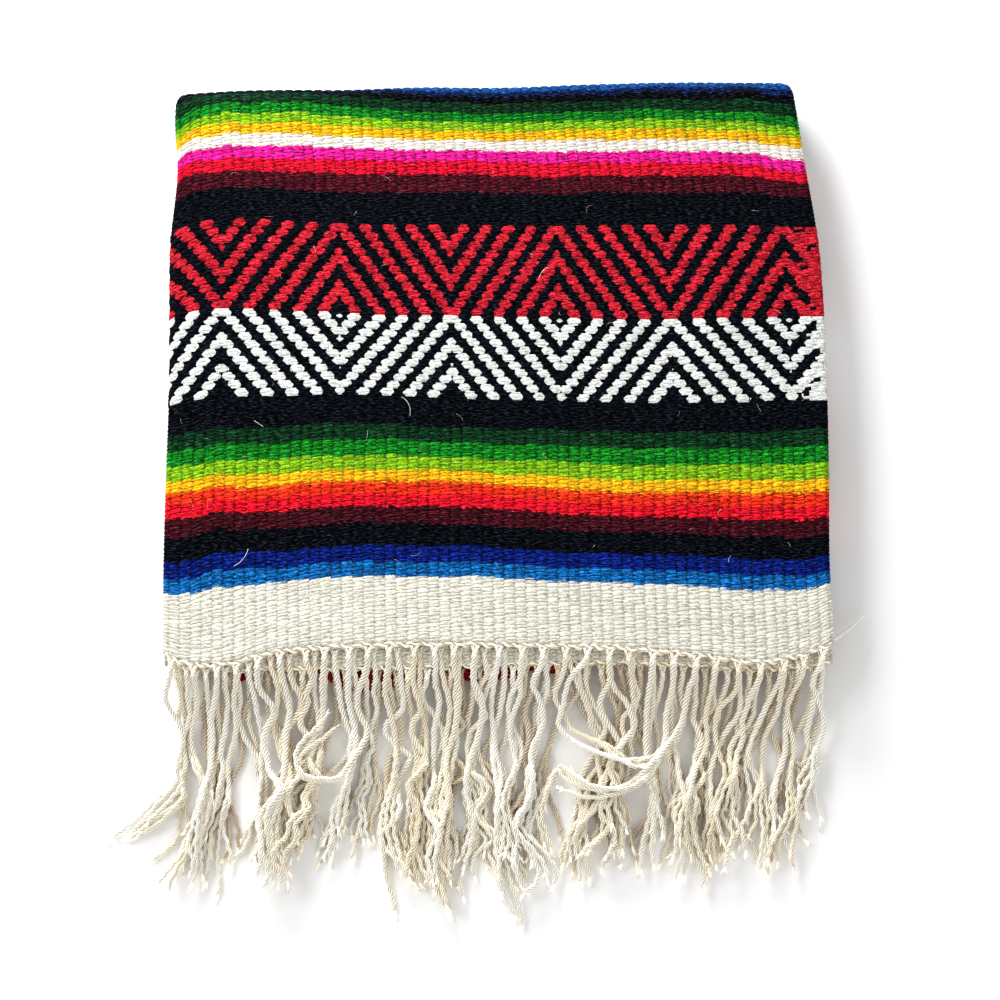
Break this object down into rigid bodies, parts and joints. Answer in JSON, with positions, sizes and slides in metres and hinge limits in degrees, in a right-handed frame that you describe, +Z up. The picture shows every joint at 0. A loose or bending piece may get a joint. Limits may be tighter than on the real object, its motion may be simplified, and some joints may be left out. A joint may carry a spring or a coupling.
{
  "type": "mexican serape",
  "caption": "Striped hand-woven wool serape folded flat into a rectangle, with a zigzag band across the middle and twisted cotton fringe at the front",
  "frame": {"origin": "on the flat underside, in the middle of the folded web", "axes": "+Z up from the table, +Y from the fringe to the back fold, +X from the turned edge to the selvedges"},
  "size_m": [0.3883, 0.483, 0.0311],
  "materials": {
    "woven_wool": "weft-faced hand weave in bright stripes, matt and slightly hairy",
    "cotton_warp": "two-ply twisted natural cotton, matt"
  },
  "bodies": {
    "root": {"outer_cloth": "woven_wool", "folded_layers": "woven_wool", "fringe_inner_lower": "cotton_warp", "fringe_inner_upper": "cotton_warp", "fringe_outer_lower": "cotton_warp", "fringe_outer_upper": "cotton_warp"}
  },
  "joints": []
}
